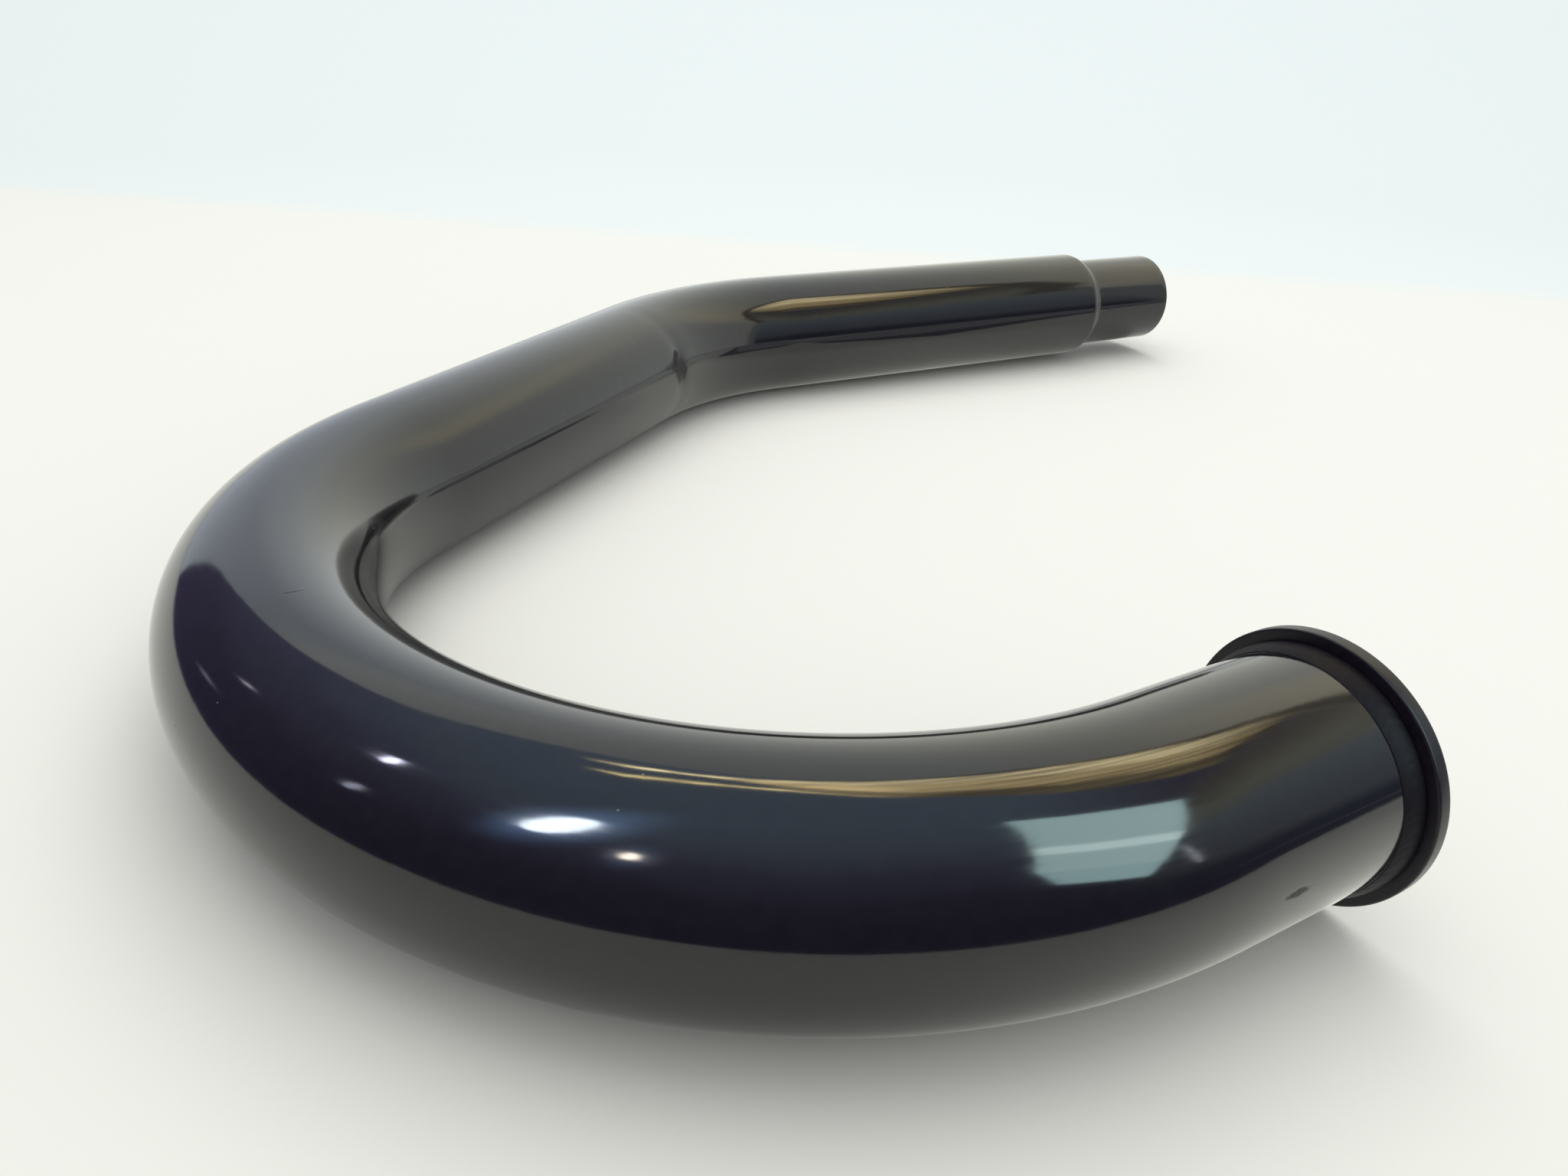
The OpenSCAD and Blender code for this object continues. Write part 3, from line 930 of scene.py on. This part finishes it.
def glint(name, corners, colour, strength, grow=1.0):
    """A lamp: the ellipse that fits in four corners. One grown past them is soft."""
    a, b, c, d = (Vector(p) for p in corners)
    spots = [(a + b + c + d) / 4]
    for i in range(RIM_POINTS):
        t = 2 * math.pi * i / RIM_POINTS
        u, v = 0.5 + 0.5 * grow * math.cos(t), 0.5 + 0.5 * grow * math.sin(t)
        spots.append((a * (1 - u) + b * u) * (1 - v) + (d * (1 - u) + c * u) * v)
    made = (added_glow if grow > 1 else glow)(name + "_light", colour, strength)
    card = gloss_card(name, spots, [(0, i + 1, (i + 1) % RIM_POINTS + 1)
                                    for i in range(RIM_POINTS)], made)
    set_core(card, [1] + [0] * RIM_POINTS)


wide_lamp = ((-0.797, -0.156, 0.697), (-0.577, -0.168, 0.845), (-0.686, -0.284, 0.766),
             (-0.864, -0.254, 0.613))
small_lamp = ((-0.747, -0.441, 0.662), (-0.708, -0.45, 0.691), (-0.743, -0.494, 0.637),
              (-0.781, -0.483, 0.606))
lamps = (
    ("lamp_a", ((-0.772, 0.229, 0.647), (-0.713, 0.221, 0.699), (-0.764, 0.186, 0.672),
                (-0.813, 0.2, 0.62)), "#e4e6ff", 36.0),
    ("lamp_b", ((-0.996, 0.144, 0.378), (-0.971, 0.111, 0.448), (-0.998, 0.092, 0.401),
                (-1.017, 0.129, 0.335)), "#dfe4ff", 7.0),
    ("lamp_c", wide_lamp, "#eaf5ff", 30.0),
    ("lamp_c_halo", wide_lamp, "#86b0e8", 9.0, 3.2),
    ("lamp_d", small_lamp, "#fff2e0", 36.0),
    ("lamp_d_halo", small_lamp, "#9ab4dc", 4.0, 5.0),
    ("faint_streak", ((-0.931, 0.897, 0.154), (-0.935, 0.884, 0.211), (-1.04, 0.769, 0.265),
                      (-1.053, 0.766, 0.226)), "#d8d0e8", 2.2, 1.3),
    ("faint_lamp", ((-0.944, 0.778, 0.462), (-0.922, 0.785, 0.487), (-0.942, 0.721, 0.554),
                    (-0.966, 0.713, 0.531)), "#e4e4f4", 9.0, 1.3),
    ("far_lamp", ((0.364, -0.828, 0.441), (0.388, -0.853, 0.369), (0.409, -0.906, 0.17),
                  (0.379, -0.902, 0.257)), "#d2d8e0", 6.0))
for lamp in lamps:
    glint(*lamp)
print("lamps and halos in the gloss:", len(lamps))

# %% The window in the gloss
# A leaning pane with a cut corner, brighter along one bar.
pane = [Vector(p) for p in ((0.13, -0.443, 0.86), (0.44, -0.524, 0.672),
                            (0.32, -0.949, 0.203), (-0.026, -0.971, 0.43))]


def pane_point(u, v):
    return (pane[0] * (1 - u) + pane[1] * u) * (1 - v) + (pane[3] * (1 - u) + pane[2] * u) * v


# Each row is a share of the way down the pane, with its left and its right end.
rows = [(0.0, -0.02, 0.97), (0.46, 0.01, 0.92), (0.56, 0.02, 0.90), (0.80, 0.03, 0.87),
        (1.0, 0.22, 0.84)]
bands = [("#bcdcdc", 9.5), ("#d4f0ee", 12.0), ("#bcdcdc", 9.5), ("#b4d6da", 9.0)]
for i, (colour, strength) in enumerate(bands):
    (v0, l0, r0), (v1, l1, r1) = rows[i], rows[i + 1]
    gloss_card("window_%d" % i, [pane_point(l0, v0), pane_point(r0, v0), pane_point(r1, v1),
                                 pane_point(l1, v1)], [(0, 1, 2, 3)],
               glow("window_light_%d" % i, colour, strength))
print("window:", len(bands), "bands")

# %% [markdown]
# ## The lights
#
# Three large soft discs and an even sky. The one overhead does most of the
# work and leaves the shadow under the pipe; the two others only fill. None of
# them shows in the gloss, which has its own cards.

# %% Lights
def soft_light(name, place, aim, size, power, colour):
    data = bpy.data.lights.new(name, "AREA")
    data.shape, data.size, data.energy = "DISK", size, power
    data.color = linear(colour)[:3]
    lamp = bpy.data.objects.new(name, data)
    lamp.location = place
    lamp.rotation_euler = (Vector(aim) - Vector(place)).to_track_quat("-Z", "Y").to_euler()
    lamp.visible_glossy = False
    bpy.context.scene.collection.objects.link(lamp)


soft_light("over_light", (0.1, 0.2, 1.5), (0.02, 0.05, 0), 2.0, 10.2, "#fffdf6")
soft_light("near_fill", (-0.2, -1.3, 1.0), (-0.1, -0.2, 0), 2.0, 4.5, "#fffdf6")
soft_light("far_fill", (0.8, 1.2, 1.9), (1.1, 1.6, 0.3), 1.6, 6.0, "#f4faff")
world = bpy.data.worlds.new("studio")
world.use_nodes = True
world.node_tree.nodes.clear()
sky = add(world.node_tree, "ShaderNodeBackground",
          {"Color": linear("#ebf0f0"), "Strength": 0.80})
add(world.node_tree, "ShaderNodeOutputWorld", {"Surface": sky})
bpy.context.scene.world = world
bpy.context.scene.view_settings.view_transform = "Standard"
print("lights on")

# %% [markdown]
# ## The camera
#
# The camera stands close, above the large bend, and looks down the pipe. A
# wide lens that near is what makes the bend loom and the tail shrink away.

# %% Camera
STAND = (-0.2222, -0.2580, 0.14328)
yaw, pitch, roll = (math.radians(v) for v in (-31.53, 26.13, -3.47))
camera_data = bpy.data.cameras.new("camera")
camera_data.sensor_width, camera_data.sensor_fit = 36.0, "HORIZONTAL"
camera_data.lens = 27.40
camera_data.clip_start = 0.01
camera = bpy.data.objects.new("camera", camera_data)
ahead = Vector((-math.sin(yaw) * math.cos(pitch), math.cos(yaw) * math.cos(pitch),
                -math.sin(pitch)))
right = Vector((math.cos(yaw), math.sin(yaw), 0))
down = ahead.cross(right)
across = right * math.cos(roll) + down * math.sin(roll)
lower = down * math.cos(roll) - right * math.sin(roll)
camera.matrix_world = Matrix.Translation(STAND) @ Matrix(
    (across, -lower, -ahead)).transposed().to_4x4()
bpy.context.scene.collection.objects.link(camera)
bpy.context.scene.camera = camera
print("camera at", [round(v, 3) for v in camera.location])

# %% Update the scene
bpy.context.view_layer.update()
